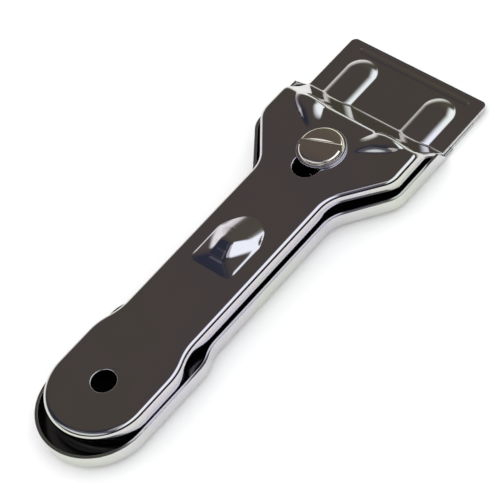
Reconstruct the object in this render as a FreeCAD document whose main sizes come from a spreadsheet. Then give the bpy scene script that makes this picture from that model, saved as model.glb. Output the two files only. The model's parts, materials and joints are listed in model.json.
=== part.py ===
import FreeCAD, Part
import math
import os
import re
import Sketcher

# An all-metal razor-blade scraper: a pressed top shell slides on a pressed base tray and is
# clamped to it by one slotted screw.  Millimetres.  +X points to the blade, +Y to the left,
# +Z up.  The origin is the centre of the hanging hole, in the plane of the tray's underside.

# alias, value, meaning: every driving dimension of the tool
DIMENSIONS = [
    ("gauge", 0.8, "thickness of both pressed sheets"),
    ("deck_top", 9.5, "top of the shell's flat deck above the tray's underside"),
    ("edge_round", 1.5, "outer radius of the shell's pressed edges"),
    ("run_gap", 0.05, "play between pieces that slide or turn on each other"),
    # plan of the top shell: half widths, and the corners of its outline along X
    ("shell_tail_half", 13.15, "half width of the shell's rounded tail"),
    ("shell_waist_half", 10.9, "half width of the shell's handle"),
    ("shell_shoulder_half", 20.8, "half width of the shell's head"),
    ("shell_nose_half", 20.7, "half width of the nose plate"),
    ("shell_tail_centre", -1.5, "centre of the tail's round end"),
    ("shell_neck_rear", 12.1, "where the tail begins to narrow"),
    ("shell_neck_front", 16.1, "where the narrow handle begins"),
    ("shell_flare_rear", 67.05, "where the handle begins to widen"),
    ("shell_flare_front", 78.95, "where the head reaches its full width"),
    ("nose_front", 113.5, "front edge of the nose plate"),
    ("neck_round", 8.0, "radius of the outline's bends at both ends of the handle"),
    ("shoulder_round", 6.5, "radius of the outline's bend at the shoulder"),
    ("nose_round", 1.5, "radius of the nose plate's front corners"),
    # side view of the top shell
    ("crease_front", 88.1, "crease between the deck and the front slope"),
    ("crease_round", 0.9, "outer radius of that crease"),
    ("flange_foot", 2.2, "lower edge of the shell's flange behind the slope"),
    ("flange_front", 91.1, "where the flange reaches down to the nose plate"),
    # plan of the base tray
    ("tray_tail_half", 14.15, "half width of the tray's rounded tail"),
    ("tray_waist_half", 12.25, "half width of the tray's handle"),
    ("tray_shoulder_half", 22.2, "half width of the tray's head"),
    ("tray_tail_centre", -4.3, "centre of the tray tail's round end"),
    ("tray_neck_rear", 18.0, "where the tray's tail begins to narrow"),
    ("tray_neck_front", 22.0, "where the tray's narrow handle begins"),
    ("tray_flare_rear", 65.05, "where the tray begins to widen"),
    ("tray_flare_front", 77.65, "where the tray's head reaches its full width"),
    ("wall_top", 5.3, "top of the tray's wall"),
    ("wall_end_top", 93.0, "front end of the tray wall's top"),
    ("wall_end_foot", 96.1, "front end of the tray's wall at its foot"),
    ("tray_round", 2.5, "outer radius of the tray's bottom edge"),
    ("tray_inner_round", 1.4, "inner radius of that edge, where the drawn sheet thins a little"),
    ("lip_front", 98.7, "front end of the low lip where that edge runs out"),
    ("tongue_front", 108.6, "front edge of the tray's tongue under the blade"),
    ("tongue_half", 20.8, "half width of the tongue"),
    # stiffening forms pressed into the shell
    ("rib_offset", 11.95, "distance of each nose rib from the middle"),
    ("rib_foot_half", 4.4, "half width of a nose rib at its foot"),
    ("rib_crest_half", 2.9, "half width of a nose rib's flat crest"),
    ("rib_rise", 1.0, "height of a nose rib above the nose plate"),
    ("rib_end_centre", 104.9, "centre of a nose rib's round front end"),
    ("gusset_tip_x", 80.0, "tip of each deck gusset along X"),
    ("gusset_tip_y", 5.5, "tip of each deck gusset from the middle"),
    ("gusset_yaw", 36.2, "direction of a gusset's axis away from X, degrees"),
    ("gusset_dip", 19.2, "dip of a gusset's cone axis below the deck, degrees"),
    ("gusset_radius", 7.8, "radius of a gusset's cone at its wide end"),
    ("gusset_length", 16.0, "length of a gusset's cone before its front is trimmed"),
    ("pad_rear", 35.5, "rear edge of the thumb pad"),
    ("pad_front", 52.5, "front edge of the thumb pad"),
    ("pad_half", 6.6, "half width of the thumb pad"),
    ("pad_crest", 42.9, "middle of the pad's crest along X"),
    ("pad_crest_half", 2.2, "half width of the pad's crest"),
    ("pad_crest_length", 0.8, "length of the pad's crest along X"),
    ("pad_rise", 3.0, "height of the pad above the deck"),
    ("bead_middle", 110.9, "middle of the bead along the nose plate's front edge"),
    ("bead_width", 2.0, "width of the bead at its foot"),
    ("bead_half", 17.2, "half length of the bead"),
    ("bead_rise", 0.3, "height of the bead"),
    # openings
    ("slot_half", 3.5, "half width of the shell's clamping slot"),
    ("slot_rear", 71.9, "centre of the slot's rear end"),
    ("slot_front", 79.3, "centre of the slot's front end"),
    ("hang_radius", 3.0, "radius of the hanging hole"),
    # clamp screw, washer and nut
    ("screw_x", 77.5, "axis of the clamp screw along X"),
    ("shank_radius", 3.0, "radius of the screw's shank"),
    ("head_radius", 5.6, "radius of the screw's head"),
    ("shank_foot", 0.3, "lower end of the screw's shank above the tray's underside"),
    ("head_side", 0.85, "height of the head's side"),
    ("head_round", 0.25, "radius of the head's rim"),
    ("head_crown", 0.75, "rise of the head's crown"),
    ("driver_width", 1.5, "width of the driver slot"),
    ("driver_depth", 1.1, "depth of the driver slot below the crown"),
    ("driver_yaw", 110.0, "direction of the driver slot away from X, degrees"),
    ("washer_radius", 6.1, "radius of the washer"),
    ("washer_height", 0.55, "thickness of the washer"),
    ("washer_round", 0.15, "radius of the washer's top edge"),
    ("nut_radius", 5.2, "radius of the nut's collar"),
    ("nut_round", 0.4, "radius of the nut's top edge"),
    ("nut_spigot", 3.9, "radius of the nut's spigot in the tray floor"),
    ("nut_height", 4.0, "height of the nut's collar above the tray floor"),
    # blade and its studs
    ("blade_width", 39.0, "width of the blade"),
    ("blade_depth", 19.0, "depth of the blade from back to cutting edge"),
    ("blade_gauge", 0.25, "thickness of the blade"),
    ("blade_bevel", 1.0, "depth of the ground cutting bevel"),
    ("blade_edge", 0.12, "height of the cutting edge above the blade's underside"),
    ("blade_front", 112.7, "cutting edge of the blade"),
    ("stud_x", 101.0, "blade studs along X"),
    ("stud_radius", 1.5, "radius of a stud"),
    ("stud_spigot", 1.0, "radius of a stud's spigot in the tongue"),
    ("stud_rise", 1.05, "height of a stud above the tongue"),
    ("stud_crown", 0.3, "radius of a stud's top edge"),
]

# levels that several pieces share, as formulas on those dimensions
SHELL_FOOT = "gauge + blade_gauge + run_gap"
HEAD_FOOT = "deck_top + run_gap + washer_height + run_gap"

UP = FreeCAD.Vector(0, 0, 1)
SIDE_VIEW = FreeCAD.Placement(FreeCAD.Vector(0, 0, 0), FreeCAD.Rotation(FreeCAD.Vector(1, 0, 0), 90))


def dimension_sheet(doc):
    """Write the driving dimensions into a spreadsheet, one alias per row."""
    sheet = doc.addObject("Spreadsheet::Sheet", "Dims")
    for row, (alias, value, meaning) in enumerate(DIMENSIONS, start=1):
        sheet.set(f"A{row}", alias)
        sheet.set(f"B{row}", str(value))
        sheet.set(f"C{row}", meaning)
        sheet.setAlias(f"B{row}", alias)
    doc.recompute()
    return sheet


def size(sheet, formula):
    """Value of a signed sum of aliases and numbers, such as 'deck_top - gauge'."""
    total = 0.0
    sign = 1.0
    for word in formula.split():
        if word in "+-":
            sign = 1.0 if word == "+" else -1.0
            continue
        negative = word.startswith("-")
        name = word[1:] if negative else word
        number = float(name) if name[0].isdigit() else float(sheet.get(name))
        total += sign * (-number if negative else number)
        sign = 1.0
    return total


def expression(formula):
    """The formula written as an expression on the spreadsheet."""
    return re.sub(r"[a-z]\w*", lambda alias: "Dims." + alias.group(), formula)


def bind(item, **formulas):
    """Bind properties to the sheet; a double underscore in a name stands for a dot."""
    for name, formula in formulas.items():
        item.setExpression(name.replace("__", "."), expression(formula))
    return item


# ---------------------------------------------------------------- sketched outlines

def bend(before, corner, after, radius):
    """Arc that rounds a corner: centre, the two tangent points, and the turn's sign."""
    inward = (before - corner).normalize()
    outward = (after - corner).normalize()
    half = inward.getAngle(outward) / 2
    reach = radius / math.tan(half)
    start = corner + inward * reach
    finish = corner + outward * reach
    centre = corner + (inward + outward).normalize() * (radius / math.sin(half))
    turn = (corner - before).cross(after - corner).z
    return centre, start, finish, turn


def corner_arc(centre, start, finish, turn):
    """Arc geometry running counter-clockwise, and which of its ends comes first."""
    radius = centre.distanceToPoint(start)
    angle = {}
    for name, point in (("start", start), ("finish", finish)):
        angle[name] = math.atan2(point.y - centre.y, point.x - centre.x)
    circle = Part.Circle(centre, UP, radius)
    if turn > 0:
        return Part.ArcOfCircle(circle, angle["start"], angle["finish"]), 1, 2
    return Part.ArcOfCircle(circle, angle["finish"], angle["start"]), 2, 1


def pin_point(sketch, geometry, position, x_formula, y_formula):
    """Place one point of a sketch by two distances bound to the sheet."""
    sheet = sketch.Document.Dims
    for kind, formula in (("DistanceX", x_formula), ("DistanceY", y_formula)):
        value = size(sheet, formula)
        index = sketch.addConstraint(Sketcher.Constraint(kind, -1, 1, geometry, position, value))
        sketch.setExpression(f"Constraints[{index}]", expression(formula))


def rounded_sketch(doc, name, corners, tail=None):
    """Closed sketch through corners (x, y, radius or None), each given as formulas.

    With a tail, (centre x, radius), the last and the first corner are joined by two
    straight sides along X and a half circle instead of one straight side.
    """
    sheet = doc.Dims
    sketch = doc.addObject("Sketcher::SketchObject", name)
    points = [FreeCAD.Vector(size(sheet, x), size(sheet, y), 0) for x, y, _ in corners]
    count = len(points)
    neighbours = {index: (points[index - 1], points[(index + 1) % count]) for index in range(count)}
    if tail:
        centre_x = size(sheet, tail[0])
        neighbours[0] = (FreeCAD.Vector(centre_x, points[0].y, 0), points[1])
        neighbours[count - 1] = (points[-2], FreeCAD.Vector(centre_x, points[-1].y, 0))

    anchors = []
    arcs = []
    joins = []
    for index, (x, y, radius) in enumerate(corners):
        anchor = sketch.addGeometry(Part.Point(points[index]), True)
        pin_point(sketch, anchor, 1, x, y)
        anchors.append(anchor)
        if radius is None:
            arcs.append(None)
            joins.append((points[index], points[index]))
            continue
        before, after = neighbours[index]
        centre, start, finish, turn = bend(before, points[index], after, size(sheet, radius))
        arc, first, second = corner_arc(centre, start, finish, turn)
        arc_id = sketch.addGeometry(arc, False)
        fixed = sketch.addConstraint(Sketcher.Constraint("Radius", arc_id, size(sheet, radius)))
        sketch.setExpression(f"Constraints[{fixed}]", expression(radius))
        arcs.append((arc_id, first, second))
        joins.append((start, finish))

    for index in range(count if not tail else count - 1):
        follower = (index + 1) % count
        side = sketch.addGeometry(Part.LineSegment(joins[index][1], joins[follower][0]), False)
        join_side(sketch, side, 1, arcs[index], 2, anchors[index])
        join_side(sketch, side, 2, arcs[follower], 1, anchors[follower])
    if tail:
        close_tail(sketch, tail, joins, arcs, anchors)
    doc.recompute()
    return sketch


def join_side(sketch, side, end, arc, arc_end, anchor):
    """Join one end of a straight side to its corner's arc, or to the sharp corner itself."""
    if arc is None:
        sketch.addConstraint(Sketcher.Constraint("Coincident", side, end, anchor, 1))
        return
    sketch.addConstraint(Sketcher.Constraint("Tangent", side, end, arc[0], arc[arc_end]))
    sketch.addConstraint(Sketcher.Constraint("PointOnObject", anchor, 1, side))


def close_tail(sketch, tail, joins, arcs, anchors):
    """Two straight sides along X and the half circle that closes the outline's tail."""
    sheet = sketch.Document.Dims
    centre = FreeCAD.Vector(size(sheet, tail[0]), 0, 0)
    radius = size(sheet, tail[1])
    low = FreeCAD.Vector(centre.x, -radius, 0)
    high = FreeCAD.Vector(centre.x, radius, 0)
    half = Part.ArcOfCircle(Part.Circle(centre, UP, radius), math.pi / 2, 3 * math.pi / 2)
    cap = sketch.addGeometry(half, False)
    first = sketch.addGeometry(Part.LineSegment(low, joins[0][0]), False)
    last = sketch.addGeometry(Part.LineSegment(joins[-1][1], high), False)
    join_side(sketch, first, 2, arcs[0], 1, anchors[0])
    join_side(sketch, last, 1, arcs[-1], 2, anchors[-1])
    for side in (first, last):
        sketch.addConstraint(Sketcher.Constraint("Horizontal", side))
    sketch.addConstraint(Sketcher.Constraint("Tangent", first, 1, cap, 2))
    sketch.addConstraint(Sketcher.Constraint("Tangent", last, 2, cap, 1))
    fixed = sketch.addConstraint(Sketcher.Constraint("DistanceX", -1, 1, cap, 3, centre.x))
    sketch.setExpression(f"Constraints[{fixed}]", expression(tail[0]))


def mirrored(corners):
    """The corners of one side, then the same corners on the other side, in reverse."""
    other = [(x, "-" + y, radius) for x, y, radius in corners]
    return other + corners[::-1]


# ---------------------------------------------------------------- building blocks

def extrude(doc, name, sketch, bottom, height):
    """Solid on a plan sketch from a height above the origin."""
    block = doc.addObject("Part::Extrusion", name)
    block.Base = sketch
    block.DirMode = "Custom"
    block.Dir = UP
    block.Solid = True
    bind(block, LengthFwd=height, Placement__Base__z=bottom)
    return block


def extrude_across(doc, name, sketch, half_width):
    """Solid from a side-view sketch, reaching the same distance to both sides."""
    block = doc.addObject("Part::Extrusion", name)
    block.Base = sketch
    block.DirMode = "Custom"
    block.Dir = FreeCAD.Vector(0, 1, 0)
    block.Solid = True
    bind(block, LengthFwd=half_width, LengthRev=half_width)
    return block


def inset(doc, name, outline, amount):
    """The same outline moved inward by a distance."""
    ring = doc.addObject("Part::Offset2D", name)
    ring.Source = outline
    ring.Join = "Intersection"
    bind(ring, Value="-" + amount)
    return ring


def fuse(doc, name, shapes):
    joined = doc.addObject("Part::MultiFuse", name)
    joined.Shapes = shapes
    return joined


def cut(doc, name, base, tool):
    """Cut a tool from a base, and make sure that it took something away."""
    result = doc.addObject("Part::Cut", name)
    result.Base = base
    result.Tool = tool
    doc.recompute()
    if result.Shape.Volume > base.Shape.Volume - 1e-6:
        raise RuntimeError(f"{name} removed nothing")
    return result


def round_edges(doc, name, base, radius, chosen):
    """Round the edges of a solid for which chosen(edge) is true."""
    doc.recompute()
    fillet = doc.addObject("Part::Fillet", name)
    fillet.Base = base
    edges = enumerate(base.Shape.Edges, start=1)
    fillet.Edges = [(index, radius, radius) for index, edge in edges if chosen(edge)]
    doc.recompute()
    return fillet


def cylinder(doc, name, radius, height, **place):
    body = doc.addObject("Part::Cylinder", name)
    return bind(body, Radius=radius, Height=height, **place)


def box(doc, name, length, width, height, **place):
    body = doc.addObject("Part::Box", name)
    return bind(body, Length=length, Width=width, Height=height, **place)


def is_flat(edge, level):
    """True for an edge that lies in the horizontal plane at the given level."""
    bounds = edge.BoundBox
    return abs(bounds.ZMin - level) < 1e-4 and abs(bounds.ZMax - level) < 1e-4


# ---------------------------------------------------------------- top shell

def shell_outline(doc):
    left = [
        ("shell_neck_rear", "shell_tail_half", "neck_round"),
        ("shell_neck_front", "shell_waist_half", "neck_round"),
        ("shell_flare_rear", "shell_waist_half", "neck_round"),
        ("shell_flare_front", "shell_shoulder_half", "shoulder_round"),
        ("nose_front", "shell_nose_half", "nose_round"),
    ]
    return rounded_sketch(doc, "shell_outline", mirrored(left), ("shell_tail_centre", "shell_tail_half"))


def shell_side(doc):
    """Side view of the drawn part: a flat deck, creased into a slope that runs to the ground."""
    corners = [
        ("crease_front + deck_top", "0", None),
        ("crease_front", "deck_top", "crease_round"),
        ("shell_tail_centre - 20", "deck_top", None),
        ("shell_tail_centre - 20", "0", None),
    ]
    sketch = rounded_sketch(doc, "shell_side", corners)
    sketch.Placement = SIDE_VIEW
    return sketch


def drawn_block(doc, name, outline, side, edge_radius):
    """Block with one outline as its plan and one as its side view, its top edges rounded."""
    plan = extrude(doc, name + "_plan", outline, SHELL_FOOT, "deck_top")
    across = extrude_across(doc, name + "_across", side, "tray_shoulder_half + 5")
    block = doc.addObject("Part::Common", name + "_block")
    block.Base = plan
    block.Tool = across
    doc.recompute()
    deck = block.Shape.BoundBox.ZMax
    bend_start = size(doc.Dims, "crease_front - crease_round")

    def is_pressed_edge(edge):
        bounds = edge.BoundBox
        runs_across = bounds.XLength < 1e-4
        around_deck = is_flat(edge, deck) and not (runs_across and bounds.YLength > 1)
        down_front = bounds.XMin > bend_start and bounds.ZLength > 0.1 and not runs_across
        return around_deck or down_front

    return round_edges(doc, name + "_drawn", block, edge_radius, is_pressed_edge)


def nose_plate(doc, outline):
    """Flat guard over the blade, in front of the slope's foot."""
    sheet = extrude(doc, "nose_sheet", outline, SHELL_FOOT, "gauge")
    front = box(doc, "nose_region", "nose_front", "shell_nose_half * 4", "deck_top",
                Placement__Base__x="crease_front + 5", Placement__Base__y="-shell_nose_half * 2")
    plate = doc.addObject("Part::Common", "nose_plate")
    plate.Base = sheet
    plate.Tool = front
    return plate


def hipped_form(doc, name, foot, crest, middle_y, foot_level, rise):
    """Solid with a rectangular foot (x0, x1, half width) that narrows to a crest."""
    form = doc.addObject("Part::Wedge", name)
    form.Placement = SIDE_VIEW
    bind(form, Xmin=foot[0], Xmax=foot[1], Zmin="-" + foot[2], Zmax=foot[2],
         X2min=crest[0], X2max=crest[1], Z2min="-" + crest[2], Z2max=crest[2],
         Ymin="0", Ymax=rise, Placement__Base__y=middle_y, Placement__Base__z=foot_level)
    return form


def nose_rib(doc, name, middle_y, foot_level, shrink):
    """Raised rib on the nose plate with sloped sides and a round front end."""
    foot = f"(rib_foot_half - {shrink})"
    crest = f"(rib_crest_half - {shrink})"
    bar = hipped_form(doc, name + "_bar", ("crease_front + 4", "rib_end_centre", foot),
                      ("crease_front + 4", "rib_end_centre", crest), middle_y, foot_level, "rib_rise")
    end = doc.addObject("Part::Cone", name + "_end")
    bind(end, Radius1=foot, Radius2=crest, Height="rib_rise", Placement__Base__x="rib_end_centre",
         Placement__Base__y=middle_y, Placement__Base__z=foot_level)
    return [bar, end]


def gusset(doc, name, side, drop, front):
    """Half cone in the deck: its tip is beside the screw and it widens towards the front."""
    sheet = doc.Dims
    yaw = math.radians(size(sheet, "gusset_yaw"))
    dip = math.radians(size(sheet, "gusset_dip"))
    level = math.cos(dip)
    axis = FreeCAD.Vector(level * math.cos(yaw), side * level * math.sin(yaw), -math.sin(dip))
    cone = doc.addObject("Part::Cone", name + "_cone")
    cone.Placement = FreeCAD.Placement(FreeCAD.Vector(0, 0, 0), FreeCAD.Rotation(UP, axis))
    sign = "" if side > 0 else "-"
    bind(cone, Radius1="0", Height="gusset_length", Radius2="gusset_radius",
         Placement__Base__x="gusset_tip_x", Placement__Base__y=sign + "gusset_tip_y",
         Placement__Base__z="deck_top - " + drop)
    reach = box(doc, name + "_reach", front, "shell_shoulder_half * 2", "deck_top",
                Placement__Base__y="-shell_shoulder_half", Placement__Base__z="deck_top / 2")
    form = doc.addObject("Part::Common", name)
    form.Base = cone
    form.Tool = reach
    return form


def stiffening_forms(doc, name, drop, shrink):
    """Ribs, gussets and thumb pad; lowered and shrunk, they are the hollows under them."""
    forms = []
    for side, middle in (("left", "rib_offset"), ("right", "-rib_offset")):
        forms += nose_rib(doc, f"{name}_rib_{side}", middle, f"{SHELL_FOOT} + gauge - {drop}", shrink)
    for side, sign in (("left", 1), ("right", -1)):
        forms.append(gusset(doc, f"{name}_gusset_{side}", sign, drop, f"crease_front + 0.6 - {drop}"))
    pad_foot = (f"(pad_rear + {shrink})", f"(pad_front - {shrink})", f"(pad_half - {shrink})")
    pad_crest = ("(pad_crest - pad_crest_length / 2)", "(pad_crest + pad_crest_length / 2)",
                 "pad_crest_half")
    forms.append(hipped_form(doc, name + "_pad", pad_foot, pad_crest, "0", f"deck_top - {drop}",
                             "pad_rise"))
    return forms


def front_bead(doc):
    foot = ("(bead_middle - bead_width / 2)", "(bead_middle + bead_width / 2)", "bead_half")
    crest = ("(bead_middle - bead_width / 6)", "(bead_middle + bead_width / 6)",
             "(bead_half - bead_width / 3)")
    return hipped_form(doc, "front_bead", foot, crest, "0", SHELL_FOOT + " + gauge", "bead_rise")


def clamping_slot(doc):
    """Long slot for the screw's shank through the deck."""
    level = "deck_top / 2"
    ends = [cylinder(doc, f"slot_{x}", "slot_half", "deck_top", Placement__Base__x=x,
                     Placement__Base__z=level)
            for x in ("slot_rear", "slot_front")]
    middle = box(doc, "slot_middle", "slot_front - slot_rear", "slot_half * 2", "deck_top",
                 Placement__Base__x="slot_rear", Placement__Base__y="-slot_half", Placement__Base__z=level)
    return ends + [middle]


def hanging_hole(doc, name, level):
    return cylinder(doc, name, "hang_radius", "deck_top", Placement__Base__z=level)


def top_shell(doc):
    outline = shell_outline(doc)
    side = shell_side(doc)
    outer_round = size(doc.Dims, "edge_round")
    inner_round = size(doc.Dims, "edge_round - gauge")
    outside = [drawn_block(doc, "shell_outer", outline, side, outer_round), nose_plate(doc, outline)]
    outside += stiffening_forms(doc, "raised", "0", "0") + [front_bead(doc)]

    inner_outline = inset(doc, "shell_inner_outline", outline, "gauge")
    inner_side = inset(doc, "shell_inner_side", side, "gauge")
    doc.recompute()
    inside = [drawn_block(doc, "shell_inner", inner_outline, inner_side, inner_round)]
    inside += stiffening_forms(doc, "hollow", "gauge", "gauge / 2") + clamping_slot(doc)
    inside.append(hanging_hole(doc, "shell_hanging_hole", "deck_top / 2"))
    inside.append(box(doc, "below_flange", "flange_front * 2", "tray_shoulder_half * 2", "flange_foot",
                      Placement__Base__x="-flange_front", Placement__Base__y="-tray_shoulder_half"))
    return cut(doc, "top_shell", fuse(doc, "shell_outside", outside), fuse(doc, "shell_inside", inside))


# ---------------------------------------------------------------- base tray

def tray_outline(doc):
    left = [
        ("tray_neck_rear", "tray_tail_half", "neck_round"),
        ("tray_neck_front", "tray_waist_half", "neck_round"),
        ("tray_flare_rear", "tray_waist_half", "neck_round"),
        ("tray_flare_front", "tray_shoulder_half", "shoulder_round"),
        ("lip_front", "tray_shoulder_half", None),
    ]
    return rounded_sketch(doc, "tray_outline", mirrored(left), ("tray_tail_centre", "tray_tail_half"))


def wall_end_cutter(doc):
    """Everything in front of the slanted front ends of the tray's wall."""
    corners = [
        ("wall_end_foot", "gauge", None),
        ("wall_end_foot + 5", "gauge", None),
        ("wall_end_foot + 5", "wall_top + 5", None),
        ("wall_end_top", "wall_top + 5", None),
        ("wall_end_top", "wall_top", None),
    ]
    sketch = rounded_sketch(doc, "wall_end_side", corners)
    sketch.Placement = SIDE_VIEW
    return extrude_across(doc, "wall_end_cutter", sketch, "tray_shoulder_half + 5")


def tray_basin(doc):
    """Floor with a wall all round, except across the front."""
    outline = tray_outline(doc)
    front = size(doc.Dims, "lip_front - gauge")

    def is_bottom_edge(level):
        return lambda edge: is_flat(edge, level) and edge.BoundBox.XMin < front - 1

    block = extrude(doc, "tray_block", outline, "0", "wall_top")
    rounded = round_edges(doc, "tray_rounded", block, size(doc.Dims, "tray_round"), is_bottom_edge(0))
    inner_outline = inset(doc, "tray_inner_outline", outline, "gauge")
    room = extrude(doc, "tray_room", inner_outline, "gauge", "wall_top")
    floor = size(doc.Dims, "gauge")
    hollow = round_edges(doc, "tray_hollow", room, size(doc.Dims, "tray_inner_round"),
                         is_bottom_edge(floor))
    return cut(doc, "tray_basin", rounded, fuse(doc, "tray_space", [hollow, wall_end_cutter(doc)]))


def tongue(doc):
    """Flat seat under the blade, with rounded front corners."""
    plate = box(doc, "tongue_plate", "tongue_front - lip_front + gauge", "tongue_half * 2", "gauge",
                Placement__Base__x="lip_front - gauge", Placement__Base__y="-tongue_half")
    front = size(doc.Dims, "tongue_front")
    return round_edges(doc, "tongue", plate, size(doc.Dims, "nose_round"),
                       lambda edge: edge.BoundBox.XMin > front - 1e-4 and edge.BoundBox.ZLength > 0.1)


def base_tray(doc):
    holes = [cylinder(doc, "nut_hole", "nut_spigot", "deck_top", Placement__Base__x="screw_x",
                      Placement__Base__z="-1"),
             hanging_hole(doc, "tray_hanging_hole", "-1")]
    for side, middle in (("left", "rib_offset"), ("right", "-rib_offset")):
        holes.append(cylinder(doc, f"stud_hole_{side}", "stud_spigot", "deck_top", Placement__Base__z="-1",
                              Placement__Base__x="stud_x", Placement__Base__y=middle))
    body = fuse(doc, "tray_body", [tray_basin(doc), tongue(doc)])
    return cut(doc, "base_tray", body, fuse(doc, "tray_holes", holes))


# ---------------------------------------------------------------- blade and studs

def scraper_blade(doc):
    """Flat razor blade, ground to an edge along its front, with a hole for each stud."""
    corners = [
        ("blade_front - blade_depth", "gauge", None),
        ("blade_front - blade_bevel", "gauge", None),
        ("blade_front", "gauge + blade_edge", None),
        ("blade_front - blade_bevel", "gauge + blade_gauge", None),
        ("blade_front - blade_depth", "gauge + blade_gauge", None),
    ]
    section = rounded_sketch(doc, "blade_side", corners)
    section.Placement = SIDE_VIEW
    steel = extrude_across(doc, "blade_steel", section, "blade_width / 2")
    holes = [cylinder(doc, f"blade_hole_{side}", "stud_radius + run_gap", "deck_top",
                      Placement__Base__x="stud_x", Placement__Base__y=middle)
             for side, middle in (("left", "rib_offset"), ("right", "-rib_offset"))]
    return cut(doc, "scraper_blade", steel, fuse(doc, "blade_holes", holes))


def blade_stud(doc, side, middle):
    """Stud riveted into the tongue; the blade hangs on it."""
    name = f"blade_stud_{side}"
    spigot = cylinder(doc, name + "_spigot", "stud_spigot", "gauge")
    pin = cylinder(doc, name + "_pin", "stud_radius", "stud_rise", Placement__Base__z="gauge")
    for piece in (spigot, pin):
        bind(piece, Placement__Base__x="stud_x", Placement__Base__y=middle)
    joined = fuse(doc, name, [spigot, pin])
    crown = size(doc.Dims, "gauge + stud_rise")
    return round_edges(doc, name + "_rounded", joined, size(doc.Dims, "stud_crown"),
                       lambda edge: is_flat(edge, crown))


def blade_studs(doc):
    studs = doc.addObject("Part::Compound", "blade_studs")
    studs.Links = [blade_stud(doc, "left", "rib_offset"), blade_stud(doc, "right", "-rib_offset")]
    return studs


# ---------------------------------------------------------------- clamp

def clamp_nut(doc):
    """Round clinch nut: a collar on the tray's floor and a spigot pressed through it."""
    collar = cylinder(doc, "nut_collar", "nut_radius", "nut_height", Placement__Base__x="screw_x",
                      Placement__Base__z="gauge")
    spigot = cylinder(doc, "nut_spigot_ring", "nut_spigot", "gauge", Placement__Base__x="screw_x")
    body = fuse(doc, "nut_body", [collar, spigot])
    top = size(doc.Dims, "gauge + nut_height")
    rounded = round_edges(doc, "nut_rounded", body, size(doc.Dims, "nut_round"),
                          lambda edge: is_flat(edge, top))
    bore = cylinder(doc, "nut_bore", "shank_radius + run_gap", "deck_top", Placement__Base__x="screw_x",
                    Placement__Base__z="-1")
    return cut(doc, "clamp_nut", rounded, bore)


def screw_washer(doc):
    disc = cylinder(doc, "washer_disc", "washer_radius", "washer_height", Placement__Base__x="screw_x",
                    Placement__Base__z="deck_top + run_gap")
    top = size(doc.Dims, "deck_top + run_gap + washer_height")
    rounded = round_edges(doc, "washer_rounded", disc, size(doc.Dims, "washer_round"),
                          lambda edge: is_flat(edge, top))
    hole = cylinder(doc, "washer_hole", "shank_radius + run_gap", "deck_top * 2",
                    Placement__Base__x="screw_x")
    return cut(doc, "screw_washer", rounded, hole)


def clamp_screw(doc):
    """Slotted screw with a wide, slightly crowned head."""
    shank = cylinder(doc, "screw_shank", "shank_radius", f"{HEAD_FOOT} - shank_foot",
                     Placement__Base__x="screw_x", Placement__Base__z="shank_foot")
    drum = cylinder(doc, "screw_head_drum", "head_radius", "head_side + head_crown",
                    Placement__Base__x="screw_x", Placement__Base__z=HEAD_FOOT)
    ball = doc.addObject("Part::Sphere", "screw_head_ball")
    ball_radius = "(head_radius ^ 2 + head_crown ^ 2) / (2 * head_crown)"
    bind(ball, Radius=ball_radius, Placement__Base__x="screw_x",
         Placement__Base__z=f"{HEAD_FOOT} + head_side + head_crown - {ball_radius}")
    head = doc.addObject("Part::Common", "screw_head")
    head.Base = drum
    head.Tool = ball
    doc.recompute()
    rim = size(doc.Dims, HEAD_FOOT + " + head_side")
    smooth = round_edges(doc, "screw_head_rounded", head, size(doc.Dims, "head_round"),
                         lambda edge: is_flat(edge, rim))
    sheet = doc.Dims
    length = 4 * size(sheet, "head_radius")
    driver = box(doc, "driver_slot", "head_radius * 4", "driver_width", "driver_depth * 2")
    turn = FreeCAD.Rotation(UP, size(sheet, "driver_yaw"))
    corner = turn.multVec(FreeCAD.Vector(-length / 2, -size(sheet, "driver_width") / 2, 0))
    corner.x += size(sheet, "screw_x")
    corner.z = size(sheet, HEAD_FOOT + " + head_side + head_crown - driver_depth")
    driver.Placement = FreeCAD.Placement(corner, turn)
    return cut(doc, "clamp_screw", fuse(doc, "screw_body", [shank, smooth]), driver)


# ---------------------------------------------------------------- the whole tool

def check(doc, pieces):
    """Stop if any object failed or any piece isn't a sound solid."""
    for item in doc.Objects:
        if "Invalid" in item.State or "Error" in item.State:
            raise RuntimeError(f"{item.Name} is {item.State}")
    for label, (piece, solids) in pieces.items():
        shape = piece.Shape
        if shape.isNull() or not shape.isValid() or len(shape.Solids) != solids:
            raise RuntimeError(f"{label} isn't {solids} sound solid(s)")


def main():
    doc = FreeCAD.newDocument("scraper")
    dimension_sheet(doc)
    pieces = {
        "top_shell": (top_shell(doc), 1),
        "base_tray": (base_tray(doc), 1),
        "scraper_blade": (scraper_blade(doc), 1),
        "blade_studs": (blade_studs(doc), 2),
        "clamp_nut": (clamp_nut(doc), 1),
        "screw_washer": (screw_washer(doc), 1),
        "clamp_screw": (clamp_screw(doc), 1),
    }
    doc.recompute()
    check(doc, pieces)
    os.makedirs("parts", exist_ok=True)
    for label, (piece, _) in pieces.items():
        piece.Label = label
        piece.Shape.exportStep(f"parts/{label}.step")
        print(f"{label}: {piece.Shape.Volume:.1f} mm3")


main()
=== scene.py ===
import json
import math

import bmesh
import bpy
import numpy as np
from mathutils import Matrix, Vector
from mathutils.geometry import delaunay_2d_cdt


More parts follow.
